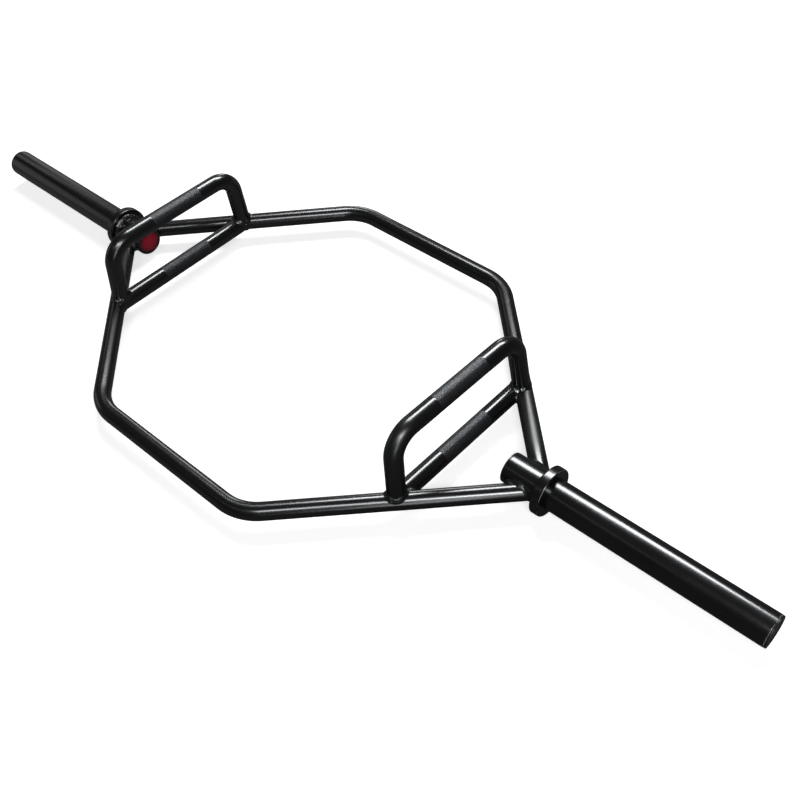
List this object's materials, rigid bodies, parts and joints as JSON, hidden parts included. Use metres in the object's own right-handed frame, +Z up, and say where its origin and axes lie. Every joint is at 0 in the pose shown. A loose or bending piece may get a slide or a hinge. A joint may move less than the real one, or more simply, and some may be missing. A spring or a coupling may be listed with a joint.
{
  "type": "olympic barbell with a hexagonal frame",
  "caption": "Hexagonal olympic barbell with a sleeve and stop collar at each end, and a low and a raised handle on each side.",
  "frame": {"origin": "on the ground under the middle of the hexagon and of the sleeves' axis, where both collars touch the ground", "axes": "+X along the sleeves towards the right one, +Y across the hexagon towards the rear bar, +Z up, the way the raised handles stand"},
  "size_m": [1.7, 0.6486, 0.1671],
  "materials": {
    "frame_steel": "gloss black enamel",
    "sleeve_steel": "gloss black enamel",
    "collar_steel": "gloss black enamel",
    "handle_steel": "gloss black enamel, matte on the knurled grips",
    "weld_steel": "gloss black enamel over weld beads",
    "plug_plastic": "satin black",
    "badge": "gloss red"
  },
  "bodies": {
    "root": {"front_frame_bar": "frame_steel", "rear_frame_bar": "frame_steel", "left_sleeve_tube": "sleeve_steel", "right_sleeve_tube": "sleeve_steel", "left_collar": "collar_steel", "right_collar": "collar_steel", "left_sleeve_end_plug": "plug_plastic", "right_sleeve_end_plug": "plug_plastic", "left_stub_plug": "plug_plastic", "right_stub_plug": "plug_plastic", "left_badge": "badge", "right_badge": "badge", "left_low_handle": "handle_steel", "right_low_handle": "handle_steel", "left_high_handle": "handle_steel", "right_high_handle": "handle_steel", "left_front_frame_weld": "weld_steel", "left_rear_frame_weld": "weld_steel", "right_front_frame_weld": "weld_steel", "right_rear_frame_weld": "weld_steel", "left_front_handle_weld": "weld_steel", "left_rear_handle_weld": "weld_steel", "right_front_handle_weld": "weld_steel", "right_rear_handle_weld": "weld_steel", "left_collar_weld_top": "weld_steel", "left_collar_weld_bottom": "weld_steel", "right_collar_weld_top": "weld_steel", "right_collar_weld_bottom": "weld_steel"}
  },
  "joints": []
}
